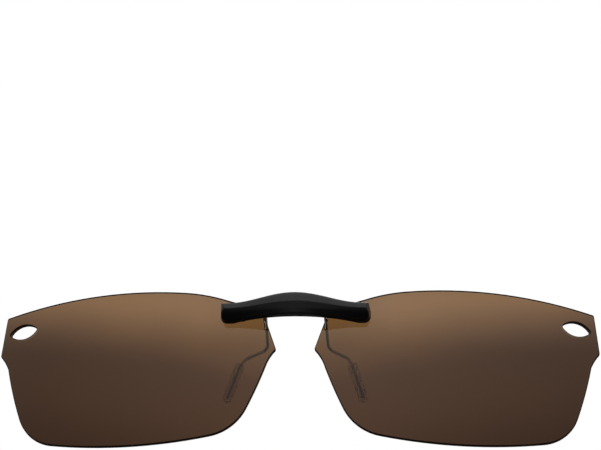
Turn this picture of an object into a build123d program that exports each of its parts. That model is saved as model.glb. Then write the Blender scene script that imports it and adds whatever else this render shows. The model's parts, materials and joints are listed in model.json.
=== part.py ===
from build123d import *
import math
import os

# Clip-on sunglasses as worn: +X to the wearer's left lens, -Y forwards, +Z up, millimetres.
# The origin is the front of the lens surface midway between the lenses, where the clip meets
# the bridge of the spectacles it is worn on.

# Lenses: one common sphere bends both of them round the face.
WRAP_RADIUS = 230.0
WRAP_CENTRE_Z = -10.0
LENS_THICKNESS = 1.1
LENS_CHAMFER = 0.18

# Right-hand lens outline, seen from the front, as x and z.
TOP_ARC_RADIUS = 118.0
TOP_CREST = (38.65, 7.15)
SHOULDER_X = 25.3
SHOULDER_RADIUS = 42.0
SHOULDER_END_X = 15.5
BOTTOM_ARC_RADIUS = 111.5
BOTTOM_CREST = (38.3, -29.35)
TEMPLE_TOP_X = 67.95
TEMPLE_TIP = (68.9, -5.95)
SCOOP_MIDDLE = (67.8, -7.45)
SCOOP_END = (66.85, -9.25)
TEMPLE_FOOT_X = 61.1
TEMPLE_SIDE_BULGE = 0.48
TEMPLE_FOOT_RADIUS = 10.0
NASAL_FOOT_X = 13.45
NASAL_SIDE_BULGE = 0.39
NASAL_FOOT_RADIUS = 11.3
NASAL_STEP = (6.3, -11.05)
NASAL_STEP_MIDDLE = (5.7, -9.9)
NASAL_TIP = (4.3, -8.05)
NASAL_TOP_Z = 1.4
WIRE_RELIEF = [(6.55, -1.5), (6.62, -3.2), (6.85, -3.2), (6.9, -1.7), (7.12, -1.25)]
WIRE_RELIEF_X = 7.12
SMALL_CORNER_RADIUS = 0.5

# Pointed oval hole near each temple, which shows the stud of the spectacles underneath.
HOLE_CENTRE = (63.75, -0.4)
HOLE_HALF_LENGTH = 3.42
HOLE_HALF_HEIGHT = 1.7
HOLE_TILT = -7.5
HOLE_TIP_RADIUS = 0.45

# Bridge: an arched bar whose cross-section follows one bell curve from end to end.
BRIDGE_FRONT_HALF_WIDTH = 16.5
BRIDGE_REAR_HALF_WIDTH = 16.9
BRIDGE_REAR_Y = 4.0
BRIDGE_FRONT_LIMIT = -12.0
BELL_HALF_WIDTH = 15.5
ARCH_FORWARD = 2.55
ARCH_UP = 1.85
END_TOP = (-3.85, 1.80)
TOP_FALL = 0.08
TOP_EDGE_RADIUS = 1.0
TOP_EDGE_RADIUS_RISE = 0.5
CREASE_STEP = 0.45
CREASE_RADIUS = 0.25
END_CREASE_Z = 0.22
CREASE_RISE = 0.8
FACE_FOOT_Z = -0.6
FACE_FOOT_STEP = 0.45
FACE_FOOT_RADIUS = 1.2
UNDERSIDE_Z = -1.75
UNDERSIDE_EDGE_RADIUS = 0.3
END_UNDERSIDE_STEP = 2.5
UNDERSIDE_STEP_FALL = 1.7
END_CORNER_X = 17.0
END_TOP_CORNER = 1.25
END_FOOT_CORNER = 1.6
END_FRONT_CORNER_X = 16.6
END_FRONT_CORNER = 1.0
WALL = 1.0
PLATE = 0.8
CHANNEL_HALF_WIDTH = 10.0
CHANNEL_REAR_Y = 6.0
CHANNEL_FACE_SHARE = 1 / 3
SECTION_COUNT = 13
RELIEF_RADIUS = 24.3
RELIEF_FRONT_Y = -3.95
RELIEF_DEPTH = 0.95

# Hinge of the claws, along X inside the bridge.
HINGE_Y = -3.0
HINGE_Z = 0.4
HINGE_CLEARANCE = 0.05
LUG_INNER_X = 3.65
LUG_OUTER_X = 5.1
LUG_REAR_Y = -1.2
LUG_FOOT_Z = -0.55
TAB_SLOT_HALF = 3.55
TAB_SLOT_FRONT_Y = -5.5
TAB_SLOT_FLOOR_Z = 0.9
NOTCH_INNER_X = 5.3
NOTCH_OUTER_X = 7.6
NOTCH_FRONT_Y = -2.9
NOTCH_FLOOR_Z = -1.0
CUT_TOP_Z = 6.0
CUT_FOOT_Z = -6.0
CUT_SPARE = 1.0

# Claws: bent wires with clear sleeves, right-hand side.
WIRE_RADIUS = 0.35
ARM_X = 6.65
WIRE_START_X = 0.4
WIRE_BENDS = [(7.0, 12.0, -4.0), (11.6, 8.7, -7.4), (12.7, 5.3, -10.2)]
SLEEVE_TIP = (15.55, 3.05, -19.6)
BEND_RADII = [1.0, 1.2, 1.4, 1.6]
SLEEVE_RADIUS = 1.1
SLEEVE_LENGTH = 10.0

# Thumb tab.
BARREL_RADIUS = 1.25
BARREL_HALF = 1.85
TAB_HALF = 2.8
TAB_THICKNESS = 0.9
TAB_HEIGHT = 3.5
TAB_PAD_DEPTH = 1.5
TAB_PAD_HEIGHT = 0.9
TAB_PAD_CORNER = 0.3
TAB_PAD_EDGE = 0.2
RIB_RADIUS = 0.16
RIB_SPACING = 0.4
RIB_INSET = 0.4

# Torsion springs, one each side of the thumb tab.
SPRING_WIRE = 0.15
SPRING_RADIUS = 0.95
SPRING_TURNS = 3.75
SPRING_PITCH = 0.34
SPRING_OUTER_X = 3.4
SPRING_WALL_LEG = 1.95
SPRING_TAB_LEG = 2.4

# Lens fixing: a plate behind each lens, held by two small screws.
CLAMP_THICKNESS = 0.6
CLAMP_SPAN_X = (11.0, 16.0)
CLAMP_SPAN_Z = (-0.55, 1.15)
CLAMP_CORNER = 0.8
SCREW_X = (12.2, 14.8)
SCREW_Z = 0.3
SCREW_RADIUS = 0.5
SCREW_HOLE_RADIUS = 0.55
SCREW_DEPTH = 2.4
SCREW_HOLE_SPARE = 0.2
SCREW_HEAD_RADIUS = 0.8
SCREW_HEAD_HEIGHT = 0.5
SCREW_HEAD_EDGE = 0.2
SCREW_SLOT_WIDTH = 0.25
SCREW_SLOT_DEPTH = 0.2

SPHERE_CENTRE = Vector(0, WRAP_RADIUS, WRAP_CENTRE_Z)
LENS_FRONT_Y = -2.0
LENS_REAR_Y = 22.0

FROM_START = (Align.CENTER, Align.CENTER, Align.MIN)
TO_END = (Align.CENTER, Align.CENTER, Align.MAX)


def nearest_vertex(face, point):
    """The corner of a flat outline that lies closest to a point."""
    return min(face.vertices(), key=lambda v: (Vector(v) - Vector(*point)).length)


def top_edge(x):
    """Point at x on the main arc along the top of the right-hand lens."""
    drop = TOP_ARC_RADIUS - math.sqrt(TOP_ARC_RADIUS**2 - (x - TOP_CREST[0]) ** 2)
    return (x, TOP_CREST[1] - drop)


def bottom_edge(x):
    """Point at x on the arc along the bottom of the right-hand lens."""
    rise = BOTTOM_ARC_RADIUS - math.sqrt(BOTTOM_ARC_RADIUS**2 - (x - BOTTOM_CREST[0]) ** 2)
    return (x, BOTTOM_CREST[1] + rise)


def shoulder(x):
    """Point at x on the tighter arc that carries the top edge down towards the bridge."""
    start = top_edge(SHOULDER_X)
    lean = math.asin((TOP_CREST[0] - SHOULDER_X) / TOP_ARC_RADIUS)
    centre_x = SHOULDER_X + SHOULDER_RADIUS * math.sin(lean)
    centre_z = start[1] - SHOULDER_RADIUS * math.cos(lean)
    return (x, centre_z + math.sqrt(SHOULDER_RADIUS**2 - (x - centre_x) ** 2))


def lens_outline():
    """Right-hand lens outline as a flat face in XY, with y standing for height."""
    nasal_top = (WIRE_RELIEF_X, NASAL_TOP_Z)
    shoulder_end = shoulder(SHOULDER_END_X)
    shoulder_middle = shoulder((SHOULDER_X + SHOULDER_END_X) / 2)
    shoulder_start = top_edge(SHOULDER_X)
    temple_top = top_edge(TEMPLE_TOP_X)
    temple_foot = bottom_edge(TEMPLE_FOOT_X)
    nasal_foot = bottom_edge(NASAL_FOOT_X)
    edges = [
        Line(nasal_top, shoulder_end),
        ThreePointArc(shoulder_end, shoulder_middle, shoulder_start),
        ThreePointArc(shoulder_start, TOP_CREST, temple_top),
        Line(temple_top, TEMPLE_TIP),
        ThreePointArc(TEMPLE_TIP, SCOOP_MIDDLE, SCOOP_END),
        SagittaArc(SCOOP_END, temple_foot, TEMPLE_SIDE_BULGE),
        ThreePointArc(temple_foot, BOTTOM_CREST, nasal_foot),
        SagittaArc(nasal_foot, NASAL_STEP, NASAL_SIDE_BULGE),
        ThreePointArc(NASAL_STEP, NASAL_STEP_MIDDLE, NASAL_TIP),
        Polyline(NASAL_TIP, *WIRE_RELIEF, nasal_top),
    ]
    face = make_face(edges)
    roundings = [
        (temple_foot, TEMPLE_FOOT_RADIUS),
        (nasal_foot, NASAL_FOOT_RADIUS),
        (temple_top, SMALL_CORNER_RADIUS),
        (nasal_top, SMALL_CORNER_RADIUS),
        (TEMPLE_TIP, SMALL_CORNER_RADIUS),
        (NASAL_TIP, SMALL_CORNER_RADIUS),
    ]
    for point, radius in roundings:
        face = fillet(nearest_vertex(face, point), radius)
    return face


def through_lens(outline):
    """Block with the given front outline, deep enough to cross the whole lens."""
    return extrude(Plane.XZ.offset(-LENS_FRONT_Y) * outline, amount=LENS_FRONT_Y - LENS_REAR_Y)


def wrap_shell(outer_depth, inner_depth):
    """Spherical shell between two depths behind the front of the lenses."""
    ball = Pos(SPHERE_CENTRE)
    return ball * Sphere(WRAP_RADIUS - outer_depth) - ball * Sphere(WRAP_RADIUS - inner_depth)


def square_to_lens(x, z, depth):
    """Plane on the lens sphere at x, z and a depth, its normal pointing to the rear."""
    reach = math.sqrt(WRAP_RADIUS**2 - x**2 - (z - WRAP_CENTRE_Z) ** 2)
    front = Vector(x, WRAP_RADIUS - reach, z)
    inward = (SPHERE_CENTRE - front).normalized()
    return Plane(origin=front + inward * depth, x_dir=(1, 0, 0), z_dir=inward)


def oval_hole():
    """Cutter for the pointed oval, square to the lens: two arcs that meet at rounded tips."""
    left = (-HOLE_HALF_LENGTH, 0)
    right = (HOLE_HALF_LENGTH, 0)
    upper = ThreePointArc(left, (0, HOLE_HALF_HEIGHT), right)
    lower = ThreePointArc(right, (0, -HOLE_HALF_HEIGHT), left)
    oval = make_face([upper, lower])
    oval = fillet(oval.vertices(), HOLE_TIP_RADIUS)
    # The plane's own y runs downwards, so the tilt is taken the other way round.
    plane = square_to_lens(*HOLE_CENTRE, -LENS_THICKNESS)
    return extrude(plane * Rot(0, 0, -HOLE_TILT) * oval, amount=3 * LENS_THICKNESS)


def screw_holes(radius, depth, length):
    """Cylinders at both screw places of the right-hand lens, from a depth, to the rear."""
    hole = Cylinder(radius, length, align=FROM_START)
    first, second = [square_to_lens(x, SCREW_Z, depth) * hole for x in SCREW_X]
    return first + second


def make_lens():
    """Right-hand lens: its rim and the rim of the oval hole have a small chamfer in front."""
    lens = through_lens(lens_outline()) & wrap_shell(0, LENS_THICKNESS)
    lens -= oval_hole()
    front = lens.faces().sort_by(SortBy.AREA)[-2:].sort_by(Axis.Y)[0]
    lens = chamfer(front.edges(), LENS_CHAMFER)
    return lens - screw_holes(SCREW_HOLE_RADIUS, -CUT_SPARE, LENS_THICKNESS + 2 * CUT_SPARE)


def make_lens_clamp():
    centre = (sum(CLAMP_SPAN_X) / 2, sum(CLAMP_SPAN_Z) / 2)
    width = CLAMP_SPAN_X[1] - CLAMP_SPAN_X[0]
    height = CLAMP_SPAN_Z[1] - CLAMP_SPAN_Z[0]
    block = through_lens(Pos(*centre) * RectangleRounded(width, height, CLAMP_CORNER))
    plate = block & wrap_shell(LENS_THICKNESS, LENS_THICKNESS + CLAMP_THICKNESS)
    return plate - screw_holes(SCREW_HOLE_RADIUS, 0, LENS_THICKNESS + CLAMP_THICKNESS + CUT_SPARE)


def make_screw(x):
    """Slotted pan-head screw through clamp plate and lens into the end of the bridge."""
    seat = square_to_lens(x, SCREW_Z, LENS_THICKNESS + CLAMP_THICKNESS)
    grip = LENS_THICKNESS + CLAMP_THICKNESS + SCREW_DEPTH
    shank = Cylinder(SCREW_RADIUS, grip, align=TO_END)
    head = Cylinder(SCREW_HEAD_RADIUS, SCREW_HEAD_HEIGHT, align=FROM_START)
    head = fillet(head.edges().sort_by(Axis.Z)[-1], SCREW_HEAD_EDGE)
    slot = Box(2 * SCREW_HEAD_RADIUS, SCREW_SLOT_WIDTH, 2 * SCREW_SLOT_DEPTH)
    return seat * (shank + head - Pos(0, 0, SCREW_HEAD_HEIGHT) * slot)


def bell(x):
    """One at the middle of the bridge, falling smoothly to nothing near its ends."""
    if abs(x) >= BELL_HALF_WIDTH:
        return 0.0
    return math.cos(math.pi * x / (2 * BELL_HALF_WIDTH)) ** 2


def section_corners(x, wall, plate, rear_y):
    """Corners of the bridge's cross-section at x, set in by a wall and a plate."""
    rise = bell(x)
    top_y = END_TOP[0] - ARCH_FORWARD * rise + wall
    top_z = END_TOP[1] + ARCH_UP * rise - plate
    crease_y = top_y - CREASE_STEP
    underside_y = crease_y + END_UNDERSIDE_STEP - UNDERSIDE_STEP_FALL * rise
    return [
        (x, rear_y, top_z - TOP_FALL * (rear_y - top_y)),
        (x, top_y, top_z),
        (x, crease_y, END_CREASE_Z + CREASE_RISE * rise - CHANNEL_FACE_SHARE * plate),
        (x, crease_y + FACE_FOOT_STEP, FACE_FOOT_Z + CHANNEL_FACE_SHARE * plate),
        (x, underside_y, UNDERSIDE_Z + plate),
        (x, rear_y, UNDERSIDE_Z + plate),
    ]


def outer_section(x):
    """Cross-section of the bridge at x, with its long edges rounded."""
    top_radius = TOP_EDGE_RADIUS + TOP_EDGE_RADIUS_RISE * bell(x)
    radii = [0, top_radius, CREASE_RADIUS, FACE_FOOT_RADIUS, UNDERSIDE_EDGE_RADIUS, 0]
    corners = section_corners(x, 0, 0, BRIDGE_REAR_Y)
    return make_face(FilletPolyline(*corners, radius=radii, close=True))


def channel_section(x):
    """Cross-section at x of the space inside the bridge, open to the rear."""
    corners = section_corners(x, WALL, PLATE, CHANNEL_REAR_Y)
    return make_face(Polyline(*corners, close=True))


def along_bridge(section, half_width):
    """Loft of a cross-section from one side to the other."""
    steps = [2 * i / (SECTION_COUNT - 1) - 1 for i in range(SECTION_COUNT)]
    return loft([section(half_width * step) for step in steps])


def both_sides(shape):
    return shape + mirror(shape, about=Plane.YZ)


def slot_box(inner_x, outer_x, front_y, rear_y, low_z, high_z):
    """Box between two x values on the right-hand side, and its mirror image."""
    centre = Pos((inner_x + outer_x) / 2, (front_y + rear_y) / 2, (low_z + high_z) / 2)
    return both_sides(centre * Box(outer_x - inner_x, rear_y - front_y, high_z - low_z))


def bridge_blank():
    """Solid bar with ends that flare a little to the rear, before anything is cut from it."""
    front_y = END_TOP[0] - CREASE_STEP
    flare = (BRIDGE_REAR_HALF_WIDTH - BRIDGE_FRONT_HALF_WIDTH) / -front_y
    front_x = BRIDGE_FRONT_HALF_WIDTH + flare * (BRIDGE_FRONT_LIMIT - front_y)
    rear_x = BRIDGE_FRONT_HALF_WIDTH + flare * (BRIDGE_REAR_Y - front_y)
    right = Polyline((0, BRIDGE_FRONT_LIMIT), (front_x, BRIDGE_FRONT_LIMIT), (rear_x, BRIDGE_REAR_Y))
    plan = make_face([right, Polyline((rear_x, BRIDGE_REAR_Y), (0, BRIDGE_REAR_Y), (0, BRIDGE_FRONT_LIMIT))])
    limits = extrude(Pos(0, 0, CUT_FOOT_Z) * both_sides(plan), amount=CUT_TOP_Z - CUT_FOOT_Z)
    return along_bridge(outer_section, rear_x) & limits


def corner_section(x, height, radius, side):
    """What rounding takes off a corner that points to +x and to side (+1 up, -1 down)."""
    square = Pos(x, height) * Rectangle(2 * radius, 2 * radius)
    inside = Pos(x - radius, height - side * radius)
    return square - inside * Circle(radius)


def end_corner_cutters():
    """Rounds the corners of both ends of the bridge, seen from the front and from above."""
    front_y = END_TOP[0] - CREASE_STEP
    upper = corner_section(END_CORNER_X, END_TOP[1], END_TOP_CORNER, 1)
    lower = corner_section(END_CORNER_X, UNDERSIDE_Z, END_FOOT_CORNER, -1)
    front = corner_section(END_FRONT_CORNER_X, front_y, END_FRONT_CORNER, -1)
    along_y = extrude(Plane.XZ.offset(-BRIDGE_FRONT_LIMIT) * (upper + lower), amount=2 * BRIDGE_FRONT_LIMIT)
    along_z = extrude(Pos(0, 0, CUT_FOOT_Z) * front, amount=CUT_TOP_Z - CUT_FOOT_Z)
    return both_sides(along_y + along_z)


def make_bridge():
    blank = bridge_blank() - end_corner_cutters()
    bridge = blank - along_bridge(channel_section, CHANNEL_HALF_WIDTH)
    # The underside is scooped out behind, over the bridge of the spectacles.
    bridge -= Pos(0, RELIEF_FRONT_Y + RELIEF_RADIUS, UNDERSIDE_Z) * Cylinder(RELIEF_RADIUS, 2 * RELIEF_DEPTH)
    # Lugs hang from the top plate and carry the hinge.
    lugs = slot_box(LUG_INNER_X, LUG_OUTER_X, BRIDGE_FRONT_LIMIT, LUG_REAR_Y, LUG_FOOT_Z, CUT_TOP_Z)
    bridge += lugs & blank
    # The top plate is open over the thumb tab and notched over each claw.
    bridge -= slot_box(0, TAB_SLOT_HALF, TAB_SLOT_FRONT_Y, BRIDGE_REAR_Y, TAB_SLOT_FLOOR_Z, CUT_TOP_Z)
    bridge -= slot_box(NOTCH_INNER_X, NOTCH_OUTER_X, NOTCH_FRONT_Y, BRIDGE_REAR_Y, NOTCH_FLOOR_Z, CUT_TOP_Z)
    bridge -= slot_box(0, NOTCH_OUTER_X, LUG_REAR_Y, CHANNEL_REAR_Y, CUT_FOOT_Z, CUT_TOP_Z)
    # The lenses lie against the rear of the ends.
    bridge -= Pos(SPHERE_CENTRE) * Sphere(WRAP_RADIUS)
    pin = Pos(0, HINGE_Y, HINGE_Z) * Rot(0, 90, 0)
    bridge -= pin * Cylinder(WIRE_RADIUS + HINGE_CLEARANCE, 2 * (LUG_OUTER_X + CUT_SPARE))
    threads = screw_holes(SCREW_RADIUS, -SCREW_DEPTH - SCREW_HOLE_SPARE, SCREW_DEPTH + CUT_SPARE)
    return bridge - both_sides(threads)


def sleeve_axis():
    """Direction of the last straight stretch of the claw wire, towards its tip."""
    return (Vector(*SLEEVE_TIP) - Vector(*WIRE_BENDS[-1])).normalized()


def make_claw_wire():
    tip = Vector(*SLEEVE_TIP) - sleeve_axis() * SLEEVE_RADIUS
    corner = (ARM_X, HINGE_Y, HINGE_Z)
    start = (WIRE_START_X, HINGE_Y, HINGE_Z)
    path = FilletPolyline(start, corner, *WIRE_BENDS, tuple(tip), radius=BEND_RADII)
    return sweep(Plane(origin=start, z_dir=(1, 0, 0)) * Circle(WIRE_RADIUS), path=path)


def make_claw_sleeve():
    """Clear tube with a closed round tip, pushed over the end of the wire."""
    direction = sleeve_axis()
    tip = Vector(*SLEEVE_TIP)
    tube_length = SLEEVE_LENGTH - SLEEVE_RADIUS
    base = Plane(origin=tip - direction * SLEEVE_LENGTH, z_dir=direction)
    tube = base * Cylinder(SLEEVE_RADIUS, tube_length, align=FROM_START)
    bore = base * Cylinder(WIRE_RADIUS, tube_length, align=FROM_START)
    return tube + Pos(tip - direction * SLEEVE_RADIUS) * Sphere(SLEEVE_RADIUS) - bore


def make_thumb_tab():
    barrel = Rot(0, 90, 0) * Cylinder(BARREL_RADIUS, 2 * BARREL_HALF)
    web = Pos(0, 0, TAB_HEIGHT / 2) * Box(2 * BARREL_HALF, TAB_THICKNESS, TAB_HEIGHT)
    pad_y = (TAB_PAD_DEPTH - TAB_THICKNESS) / 2
    pad_place = Pos(0, pad_y, TAB_HEIGHT - TAB_PAD_HEIGHT / 2)
    pad = pad_place * Box(2 * TAB_HALF, TAB_PAD_DEPTH, TAB_PAD_HEIGHT)
    pad = fillet(pad.edges().filter_by(Axis.Z), TAB_PAD_CORNER)
    pad = fillet(pad.edges().filter_by(Axis.X), TAB_PAD_EDGE)
    tab = barrel + web + pad
    for step in (-1, 0, 1):
        place = Pos(0, pad_y + step * RIB_SPACING, TAB_HEIGHT) * Rot(0, 90, 0)
        tab += place * Cylinder(RIB_RADIUS, 2 * (TAB_HALF - RIB_INSET))
    tab -= Rot(0, 90, 0) * Cylinder(WIRE_RADIUS, 2 * (BARREL_HALF + CUT_SPARE))
    return Pos(0, HINGE_Y, HINGE_Z) * tab


def make_spring():
    """Torsion spring: one leg against the front wall, coils, one leg up the thumb tab."""
    helix = Helix(SPRING_PITCH, SPRING_TURNS * SPRING_PITCH, SPRING_RADIUS)
    seat = (SPRING_OUTER_X - SPRING_WIRE, HINGE_Y, HINGE_Z)
    frame = Plane(origin=seat, x_dir=(0, 0, 1), z_dir=(-1, 0, 0))
    start = Plane(origin=helix @ 0, z_dir=helix % 0)
    coils = sweep(start * Circle(SPRING_WIRE), path=helix, is_frenet=True)
    to_wall = Plane(origin=helix @ 0, z_dir=-(helix % 0))
    to_tab = Plane(origin=helix @ 1, z_dir=helix % 1)
    wall_leg = to_wall * Cylinder(SPRING_WIRE, SPRING_WALL_LEG, align=FROM_START)
    tab_leg = to_tab * Cylinder(SPRING_WIRE, SPRING_TAB_LEG, align=FROM_START)
    return frame * (coils + wall_leg + tab_leg)


def write_pair(name, shape):
    """Writes a right-hand piece and its mirror image."""
    export_step(shape, f"parts/{name}_left.step")
    export_step(mirror(shape, about=Plane.YZ), f"parts/{name}_right.step")


os.makedirs("parts", exist_ok=True)
write_pair("lens", make_lens())
write_pair("lens_clamp", make_lens_clamp())
write_pair("claw_wire", make_claw_wire())
write_pair("claw_sleeve", make_claw_sleeve())
write_pair("torsion_spring", make_spring())
screws = [make_screw(x) for x in SCREW_X]
screws += [mirror(screw, about=Plane.YZ) for screw in screws]
export_step(Compound(children=screws), "parts/clamp_screws.step")
export_step(make_bridge(), "parts/bridge.step")
export_step(make_thumb_tab(), "parts/thumb_tab.step")
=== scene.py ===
import json
import math

import bpy
import numpy
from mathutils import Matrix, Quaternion, Vector


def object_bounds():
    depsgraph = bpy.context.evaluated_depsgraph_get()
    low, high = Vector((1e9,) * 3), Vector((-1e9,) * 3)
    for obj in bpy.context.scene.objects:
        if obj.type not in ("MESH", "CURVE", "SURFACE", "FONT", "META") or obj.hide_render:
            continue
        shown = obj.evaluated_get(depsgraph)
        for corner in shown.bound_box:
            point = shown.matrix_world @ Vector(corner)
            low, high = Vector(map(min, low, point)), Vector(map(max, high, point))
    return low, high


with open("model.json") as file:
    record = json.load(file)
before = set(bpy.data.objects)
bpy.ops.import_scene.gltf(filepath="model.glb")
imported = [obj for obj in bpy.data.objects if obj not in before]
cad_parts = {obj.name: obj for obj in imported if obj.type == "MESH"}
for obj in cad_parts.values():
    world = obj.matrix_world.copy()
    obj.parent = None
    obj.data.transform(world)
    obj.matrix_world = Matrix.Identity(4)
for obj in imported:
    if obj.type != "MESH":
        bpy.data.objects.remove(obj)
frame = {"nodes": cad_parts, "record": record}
cad_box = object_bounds()
nodes = frame["nodes"]

# Lengths are in metres and colours are linear, unless a comment says otherwise.

# Camera: angles in degrees, focal length in millimetres.
CAMERA_AZIMUTH = 3.62
CAMERA_ELEVATION = -20.17
CAMERA_DISTANCE = 0.45
CAMERA_ROLL = 0.88
CAMERA_LENS = 119.19
CAMERA_AIM = Vector((0.0008, 0.0, 0.02209))
CAMERA_CLIP = (0.01, 200)

# Floor and backdrop.
FLOOR_DROP = 0.72
FLOOR_RADIUS = 40.0
FLOOR_SIDES = 96
FLOOR_GLOW = 0.5
BACKDROP_WHITE = 1.0

# What the object mirrors: brightness against the sine of the elevation, from straight down to
# overhead, of the room in front of it and of the room behind.
ROOM_LIGHT = [
    (-1.00, 0.03),
    (-0.50, 0.04),
    (-0.20, 0.20),
    (0.10, 0.30),
    (0.35, 0.70),
    (0.46, 1.37),
    (0.55, 0.90),
    (0.70, 0.55),
    (1.00, 0.45),
]
REAR_LIGHT = [
    (-1.00, 0.04),
    (-0.05, 0.08),
    (0.15, 0.55),
    (0.40, 0.85),
    (1.00, 0.50),
]
# The room in front is dimmer to the sides: sines of the sideways angle, and the shares there.
SIDE_SPAN = (0.15, 0.62)
SIDE_SHARE = (1.28, 0.73)
# Sines of the angle towards the rear between which the room behind takes over.
REAR_SPAN = (-0.10, 0.25)

# Area lights: name, place, width, depth, and power in watts.
SOFTBOXES = [
    ("key", (0.0, -0.35, 0.75), 0.9, 0.5, 0.8),
    ("rear", (0.2, 0.6, 0.5), 0.5, 0.3, 1.0),
    ("left", (-0.6, 0.25, -0.10), 0.5, 0.5, 0.8),
    ("right", (0.6, 0.25, -0.10), 0.5, 0.5, 0.8),
]

# Both lenses lie on one sphere; what is farther from its centre than FRONT_RADIUS is in front.
WRAP_RADIUS = 0.230
WRAP_CENTRE = Vector((0.0, WRAP_RADIUS, -0.010))
FRONT_RADIUS = WRAP_RADIUS - 0.0005
# Cosine between a lens polygon and the sphere: faces above, ground edges below, chamfers between.
FACE_LIMIT = 0.9
EDGE_LIMIT = 0.5

# Colour of light that crosses the whole lens, from its foot to its crest: the crest is the lens's
# own brown tint, and below it is painted shade, dark at the foot, even through the middle, then
# lighter in one smooth sweep. The heights of foot and crest rise with the distance from the middle
# of the object, and clouds shift them a little.
LENS_TINT_AND_SHADE = [
    (0.00, (0.040, 0.017, 0.0072)),
    (0.40, (0.057, 0.025, 0.0102)),
    (0.55, (0.057, 0.025, 0.0102)),
    (0.98, (0.213, 0.107, 0.0370)),
]
SHADE_HEIGHTS = (-0.042, 0.000)
SHADE_SLANT = 0.195
SHADE_DRIFT = 0.0006
# Low down the painted shade deepens towards the temples, high up only beside the bridge: distances
# from the middle, and the shares of light there. The low part fades out between two places in the
# tint and shade gradient.
LOW_SPAN = (0.013, 0.063)
LOW_SHARE = (1.18, 0.85)
LOW_FADE = (0.60, 0.85)
HIGH_SPAN = (0.010, 0.022)
HIGH_SHARE = (0.78, 1.00)
# In front a lens is painted almost black in a narrow band along the two arcs of its top edge, as
# painted shade where that edge looks dark; the arcs are given as centre x and z, radius, and the x
# where the arc ends. The band fades between two depths.
TOP_ARCS = [
    (0.03865, -0.11085, 0.118, 0.0680),
    (0.03005, -0.03534, 0.042, 0.0253),
]
BAND_FADE = (0.00044, 0.00034)
BAND_PAINTED_SHADE = (0.006, 0.004, 0.003, 1)
# Colour of light that leaves a lens through its ground edge.
EDGE_PASS = (0.35, 0.31, 0.28, 1)
# How strongly the lens mirrors, and its ground edge, and its chamfer and band of painted
# near-black shade.
LENS_IOR = 1.5
EDGE_IOR = 1.2
RIM_IOR = 1.1
EDGE_ROUGHNESS = 0.5
RIM_ROUGHNESS = 0.6

# Share of the light that a sleeve scatters on its way through, and the shares of its milky
# surface where that is seen squarely and where it is seen at a grazing angle.
SLEEVE_CLOUD = 0.35
SLEEVE_SURFACE = (0.03, 0.25)
SLEEVE_GRAZING = (0.2, 1.0)

# Where the values of a noise mostly lie.
NOISE_SPAN = (0.3, 0.7)
BRIDGE_ROUGHNESS = (0.34, 0.42)
# The dullest spots of a steel against its colour, and the roughest against its roughness.
STEEL_DULL = 0.8
STEEL_ROUGHER = 1.5


# ---------------------------------------------------------------- node helpers


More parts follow.
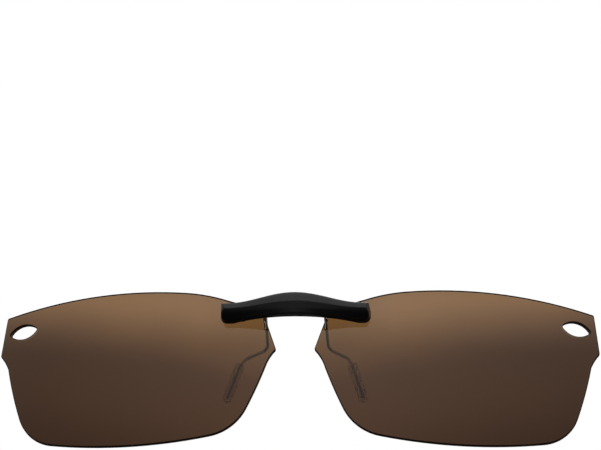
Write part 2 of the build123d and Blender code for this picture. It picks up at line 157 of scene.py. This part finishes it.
class Shader:
    """The nodes of a new material or world, and short ways to add and join them."""

    def __init__(self, owner, output="ShaderNodeOutputMaterial"):
        owner.use_nodes = True
        self.owner = owner
        self.tree = owner.node_tree
        self.tree.nodes.clear()
        self.output = self.add(output)

    def add(self, kind, inputs=None, **settings):
        """Adds a node, sets its attributes, and sets or links its inputs."""
        node = self.tree.nodes.new(kind)
        for key, value in settings.items():
            setattr(node, key, value)
        for key, value in (inputs or {}).items():
            self.feed(node.inputs[key], value)
        return node

    def feed(self, socket, value):
        if isinstance(value, bpy.types.NodeSocket):
            self.tree.links.new(value, socket)
        else:
            socket.default_value = value

    def math(self, operation, *values):
        inputs = dict(enumerate(values))
        return self.add("ShaderNodeMath", inputs, operation=operation).outputs[0]

    def vector(self, operation, *values):
        """Vector arithmetic; a dot product and a distance come back as one number."""
        inputs = dict(enumerate(values))
        node = self.add("ShaderNodeVectorMath", inputs, operation=operation)
        return node.outputs["Value" if operation in ("DOT_PRODUCT", "DISTANCE") else "Vector"]

    def position(self):
        """Position in the part's own frame."""
        return self.add("ShaderNodeTexCoord").outputs["Object"]

    def join(self, x, y, z):
        return self.add("ShaderNodeCombineXYZ", {0: x, 1: y, 2: z}).outputs[0]

    def axes(self, vector):
        return self.add("ShaderNodeSeparateXYZ", {0: vector}).outputs

    def noise(self, scale, detail, roughness=0.5):
        place = self.position()
        inputs = {"Vector": place, "Scale": scale, "Detail": detail, "Roughness": roughness}
        return self.add("ShaderNodeTexNoise", inputs).outputs["Fac"]

    def spread(self, value, low, high, out_low=0.0, out_high=1.0, smooth=False):
        """Maps the range from low to high onto another one, and stops at its ends."""
        kind = "SMOOTHSTEP" if smooth else "LINEAR"
        inputs = {"Value": value, 1: low, 2: high, 3: out_low, 4: out_high}
        return self.add("ShaderNodeMapRange", inputs, interpolation_type=kind).outputs[0]

    def ramp(self, value, stops, smooth=False):
        node = self.add("ShaderNodeValToRGB", {0: value})
        node.color_ramp.interpolation = "EASE" if smooth else "LINEAR"
        elements = node.color_ramp.elements
        while len(elements) > 1:
            elements.remove(elements[-1])
        elements[0].position = stops[0][0]
        elements[0].color = (*stops[0][1], 1)
        for place, colour in stops[1:]:
            elements.new(place).color = (*colour, 1)
        return node.outputs[0]

    def mottle(self, noise, dark, light, span=NOISE_SPAN):
        """Colour that wanders between two with a noise."""
        return self.ramp(noise, list(zip(span, (dark, light))))

    def bump(self, height, distance, strength, normal=None):
        inputs = {"Height": height, "Distance": distance, "Strength": strength}
        if normal is not None:
            inputs["Normal"] = normal
        return self.add("ShaderNodeBump", inputs).outputs[0]

    def rounded(self, radius):
        """Normal that rounds every edge over, as paint and moulding do."""
        return self.add("ShaderNodeBevel", {"Radius": radius}, samples=6).outputs[0]

    def transparent(self, colour):
        return self.add("ShaderNodeBsdfTransparent", {"Color": colour}).outputs[0]

    def principled(self, **inputs):
        named = {key.replace("_", " "): value for key, value in inputs.items()}
        return self.add("ShaderNodeBsdfPrincipled", named).outputs[0]

    def mix(self, factor, first, second):
        return self.add("ShaderNodeMixShader", {0: factor, 1: first, 2: second}).outputs[0]

    def finish(self, shader):
        self.feed(self.output.inputs["Surface"], shader)
        return self.owner


def material(name):
    return Shader(bpy.data.materials.new(name))


# ---------------------------------------------------------------- materials


def lens_tint_and_shade(s, out, z):
    """Colour that a lens face gives the light which crosses it: its own brown tint, with painted
    shade.
    """
    height = s.math("SUBTRACT", z, s.math("MULTIPLY", out, SHADE_SLANT))
    clouds = s.noise(scale=60, detail=2)
    drift = s.spread(clouds, *NOISE_SPAN, -SHADE_DRIFT, SHADE_DRIFT)
    place = s.spread(s.math("ADD", height, drift), *SHADE_HEIGHTS)
    # The light crosses two faces, so each takes the root of the tint with its painted shade, and
    # of its share.
    stops = [(at, [math.sqrt(part) for part in colour]) for at, colour in LENS_TINT_AND_SHADE]
    # Painted shade towards the temples low down and beside the bridge high up.
    low = s.spread(out, *LOW_SPAN, *LOW_SHARE)
    high = s.spread(out, *HIGH_SPAN, *HIGH_SHARE)
    lowness = s.spread(place, *LOW_FADE, 1.0, 0.0, smooth=True)
    highness = s.math("SUBTRACT", 1.0, lowness)
    low_part = s.math("MULTIPLY", low, lowness)
    high_part = s.math("MULTIPLY", high, highness)
    share = s.math("SQRT", s.math("ADD", low_part, high_part))
    # Painted shade: the ramp darkens the lens's own brown towards the foot of the lens.
    tint = s.ramp(place, stops, smooth=True)
    return s.vector("MULTIPLY", tint, s.join(share, share, share))


def top_band(s, out, z):
    """1 in the band of painted shade along the top edge of a lens and 0 elsewhere."""
    flat = s.join(out, z, 0.0)
    bands = []
    for centre_x, centre_z, radius, end in TOP_ARCS:
        reach = s.vector("DISTANCE", flat, (centre_x, centre_z, 0))
        fade = s.spread(s.math("SUBTRACT", radius, reach), *BAND_FADE)
        bands.append(s.math("MULTIPLY", fade, s.math("LESS_THAN", out, end)))
    return s.math("MAXIMUM", *bands)


def lens_body():
    s = material("lens_brown")
    place = s.position()
    x, _, z = s.axes(place)
    out = s.math("ABSOLUTE", x)
    # Light through the lens takes its tint together with the painted shade.
    through = s.transparent(lens_tint_and_shade(s, out, z))

    # The facets mirror like the true sphere, with a faint waviness.
    geometry = s.add("ShaderNodeNewGeometry").outputs
    radial = s.vector("NORMALIZE", s.vector("SUBTRACT", place, WRAP_CENTRE))
    side = s.math("SIGN", s.vector("DOT_PRODUCT", radial, geometry["True Normal"]))
    smooth = s.vector("MULTIPLY", radial, s.join(side, side, side))
    waves = s.noise(scale=35, detail=1)
    normal = s.bump(waves, distance=0.00002, strength=0.3, normal=smooth)
    mirror = {"Roughness": 0.04, "Normal": normal}
    gloss = s.add("ShaderNodeBsdfGlossy", mirror).outputs[0]
    fresnel = s.add("ShaderNodeFresnel", {"IOR": LENS_IOR, "Normal": normal}).outputs[0]
    outside = s.math("SUBTRACT", 1.0, geometry["Backfacing"])
    glass = s.mix(s.math("MULTIPLY", fresnel, outside), through, gloss)

    in_front = s.math("GREATER_THAN", s.vector("DISTANCE", place, WRAP_CENTRE), FRONT_RADIUS)
    # Painted shade: a near-black band on the lens face along its top edge.
    dark = s.principled(Base_Color=BAND_PAINTED_SHADE, Roughness=RIM_ROUGHNESS, IOR=RIM_IOR)
    return s.finish(s.mix(s.math("MULTIPLY", top_band(s, out, z), in_front), glass, dark))


def ground(s, dark, light, roughness, ior):
    """Surface with a fine grain."""
    grain = s.noise(scale=4000, detail=2)
    colour = s.mottle(grain, dark, light)
    normal = s.bump(grain, distance=0.00001, strength=0.5)
    return s.principled(Base_Color=colour, Roughness=roughness, IOR=ior, Normal=normal)


def lens_edge():
    """The ground edge of a lens: dull brown from outside, while light passes it from within."""
    s = material("lens_edge")
    dark, light = (0.050, 0.030, 0.020), (0.075, 0.044, 0.030)
    outer = ground(s, dark, light, EDGE_ROUGHNESS, EDGE_IOR)
    within = s.add("ShaderNodeNewGeometry").outputs["Backfacing"]
    return s.finish(s.mix(within, outer, s.transparent(EDGE_PASS)))


def lens_rim():
    """The chamfer in front, painted near-black as shade where the lens edge looks dark."""
    s = material("lens_rim")
    # Painted shade: the chamfer's glass is coloured near-black.
    dark, light = (0.0040, 0.0028, 0.0020), (0.0070, 0.0048, 0.0034)
    return s.finish(ground(s, dark, light, RIM_ROUGHNESS, RIM_IOR))


def satin_black():
    s = material("bridge_black")
    grain = s.noise(scale=9000, detail=3)
    colour = s.mottle(grain, (0.0075, 0.0075, 0.0075), (0.0110, 0.0110, 0.0108))
    roughness = s.spread(s.noise(scale=700, detail=3), *NOISE_SPAN, *BRIDGE_ROUGHNESS)
    edges = s.rounded(radius=0.0004)
    normal = s.bump(grain, distance=0.000004, strength=0.6, normal=edges)
    return s.finish(s.principled(Base_Color=colour, Roughness=roughness, IOR=1.46, Normal=normal))


def matt_black(name, roughness, grain_depth):
    s = material(name)
    grain = s.noise(scale=6500, detail=4, roughness=0.65)
    dark, light = (0.0060, 0.0060, 0.0062), (0.0120, 0.0120, 0.0122)
    colour = s.mottle(grain, dark, light, span=(0.25, 0.75))
    edges = s.rounded(radius=0.00012)
    normal = s.bump(grain, distance=grain_depth, strength=0.8, normal=edges)
    return s.finish(s.principled(Base_Color=colour, Roughness=roughness, IOR=1.48, Normal=normal))


def steel(name, colour, roughness):
    s = material(name)
    grain = s.noise(scale=9000, detail=2)
    shade = s.mottle(grain, tuple(STEEL_DULL * part for part in colour), colour)
    rough = s.spread(grain, *NOISE_SPAN, roughness, STEEL_ROUGHER * roughness)
    normal = s.bump(grain, distance=0.000002, strength=0.5)
    return s.finish(s.principled(Base_Color=shade, Metallic=1.0, Roughness=rough, Normal=normal))


def clear_rubber():
    s = material("sleeve_clear")
    milk = s.noise(scale=900, detail=2)
    tint = s.mottle(milk, (0.93, 0.92, 0.90), (0.98, 0.98, 0.97))
    cloudy = s.add("ShaderNodeBsdfTranslucent", {"Color": tint}).outputs[0]
    through = s.mix(SLEEVE_CLOUD, s.transparent(tint), cloudy)
    normal = s.bump(milk, distance=0.00002, strength=0.3)
    body = s.principled(Base_Color=(0.85, 0.84, 0.82, 1), Roughness=0.25, IOR=1.42, Normal=normal)
    grazing = s.add("ShaderNodeLayerWeight", {"Blend": 0.35}).outputs["Facing"]
    surface = s.spread(grazing, *SLEEVE_GRAZING, *SLEEVE_SURFACE)
    return s.finish(s.mix(surface, through, body))


def sleeve_bore():
    """Lining of a sleeve: it lies on the wire, so light simply passes it."""
    s = material("sleeve_bore")
    milk = s.noise(scale=900, detail=2)
    return s.finish(s.transparent(s.mottle(milk, (0.93, 0.93, 0.92), (0.98, 0.98, 0.97))))


FINISHES = {
    "lens_brown": lens_body(),
    "bridge_black": satin_black(),
    "tab_black": matt_black("tab_black", roughness=0.55, grain_depth=0.000012),
    "clamp_black": matt_black("clamp_black", roughness=0.45, grain_depth=0.000006),
    "screw_steel": steel("screw_steel", (0.30, 0.30, 0.31), roughness=0.28),
    "wire_steel": steel("wire_steel", (0.85, 0.82, 0.78), roughness=0.50),
    "spring_steel": steel("spring_steel", (0.62, 0.61, 0.60), roughness=0.18),
    "sleeve_clear": clear_rubber(),
}
LENS_EDGE = lens_edge()
LENS_RIM = lens_rim()
SLEEVE_BORE = sleeve_bore()


def lens_slot(polygon):
    """Material slot of a lens polygon: 0 for a face, 1 for a ground edge, 2 for a chamfer."""
    facing = abs((polygon.center - WRAP_CENTRE).normalized().dot(polygon.normal))
    if facing >= FACE_LIMIT:
        return 0
    return 2 if facing > EDGE_LIMIT else 1


def bore_faces(mesh):
    """Polygons of a sleeve that line its bore: they face the sleeve's own long axis."""
    points = numpy.array([vertex.co for vertex in mesh.vertices])
    middle = points.mean(axis=0)
    axis = Vector(numpy.linalg.svd(points - middle, full_matrices=False)[2][0])
    for polygon in mesh.polygons:
        arm = polygon.center - Vector(middle)
        radial = arm - axis * arm.dot(axis)
        if radial.dot(polygon.normal) < 0:
            yield polygon


def dress_nodes():
    """Gives each CAD node its material, then lenses their edges and sleeves their lining."""
    for part in frame["record"]["subparts"]:
        mesh = nodes[part["node"]].data
        mesh.materials.clear()
        mesh.materials.append(FINISHES[part["material_slot"]])
    for name in ("lens_left", "lens_right"):
        mesh = nodes[name].data
        mesh.materials.append(LENS_EDGE)
        mesh.materials.append(LENS_RIM)
        for polygon in mesh.polygons:
            polygon.material_index = lens_slot(polygon)
    for name in ("claw_sleeve_left", "claw_sleeve_right"):
        mesh = nodes[name].data
        mesh.materials.append(SLEEVE_BORE)
        for polygon in bore_faces(mesh):
            polygon.material_index = 1


# ---------------------------------------------------------------- surroundings


def make_floor():
    """Pale floor far below the object, left out of its reflections and its light."""
    place = (0, 0, cad_box[0][2] - FLOOR_DROP)
    bpy.ops.mesh.primitive_circle_add(
        vertices=FLOOR_SIDES, radius=FLOOR_RADIUS, fill_type="NGON", location=place
    )
    floor = bpy.context.object
    floor.name = "floor"
    floor.visible_glossy = False
    floor.visible_diffuse = False
    s = material("floor_pale")
    colour = s.mottle(s.noise(scale=3, detail=2), (0.86, 0.86, 0.85), (0.90, 0.90, 0.89))
    paper = s.principled(
        Base_Color=colour, Roughness=0.9, Emission_Color=colour, Emission_Strength=FLOOR_GLOW
    )
    floor.data.materials.append(s.finish(paper))


def make_world():
    """White for the camera; for reflections a dim room that glows overhead in front."""
    s = Shader(bpy.data.worlds.new("studio"), "ShaderNodeOutputWorld")
    x, y, z = s.axes(s.add("ShaderNodeTexCoord").outputs["Generated"])
    height = s.spread(z, -1, 1)
    rooms = []
    for lights in (ROOM_LIGHT, REAR_LIGHT):
        stops = [((sine + 1) / 2, (light, light, light)) for sine, light in lights]
        rooms.append(s.ramp(height, stops))
    share = s.spread(s.math("ABSOLUTE", x), *SIDE_SPAN, *SIDE_SHARE)
    front = s.vector("MULTIPLY", rooms[0], s.join(share, share, share))
    behind = s.spread(y, *REAR_SPAN, smooth=True)
    blend = {"Factor": behind, "A": front, "B": rooms[1]}
    both = s.add("ShaderNodeMix", blend, data_type="RGBA").outputs["Result"]
    room = s.add("ShaderNodeBackground", {"Color": both}).outputs[0]
    backdrop = {"Color": (1, 1, 1, 1), "Strength": BACKDROP_WHITE}
    white = s.add("ShaderNodeBackground", backdrop).outputs[0]
    seen = s.add("ShaderNodeLightPath").outputs["Is Camera Ray"]
    bpy.context.scene.world = s.finish(s.mix(seen, room, white))


def softbox(name, place, width, depth, power):
    """Area light that faces the object's origin."""
    data = bpy.data.lights.new(name, "AREA")
    data.shape = "RECTANGLE"
    data.size = width
    data.size_y = depth
    data.energy = power
    light = bpy.data.objects.new(name, data)
    light.location = place
    light.rotation_euler = (-Vector(place)).to_track_quat("-Z", "Y").to_euler()
    bpy.context.scene.collection.objects.link(light)


def make_camera():
    azimuth = math.radians(CAMERA_AZIMUTH)
    elevation = math.radians(CAMERA_ELEVATION)
    level = math.cos(elevation)
    back = Vector((math.sin(azimuth) * level, -math.cos(azimuth) * level, math.sin(elevation)))
    data = bpy.data.cameras.new("camera")
    data.lens = CAMERA_LENS
    data.clip_start, data.clip_end = CAMERA_CLIP
    camera = bpy.data.objects.new("camera", data)
    camera.location = back * CAMERA_DISTANCE
    look = (CAMERA_AIM - camera.location).to_track_quat("-Z", "Y").to_matrix()
    sight = look @ Vector((0, 0, 1))
    camera.rotation_euler = look.to_euler()
    camera.rotation_euler.rotate(Quaternion(sight, math.radians(CAMERA_ROLL)))
    bpy.context.scene.collection.objects.link(camera)
    bpy.context.scene.camera = camera


dress_nodes()
make_floor()
make_world()
for box in SOFTBOXES:
    softbox(*box)
make_camera()
bpy.context.scene.view_settings.view_transform = "Standard"
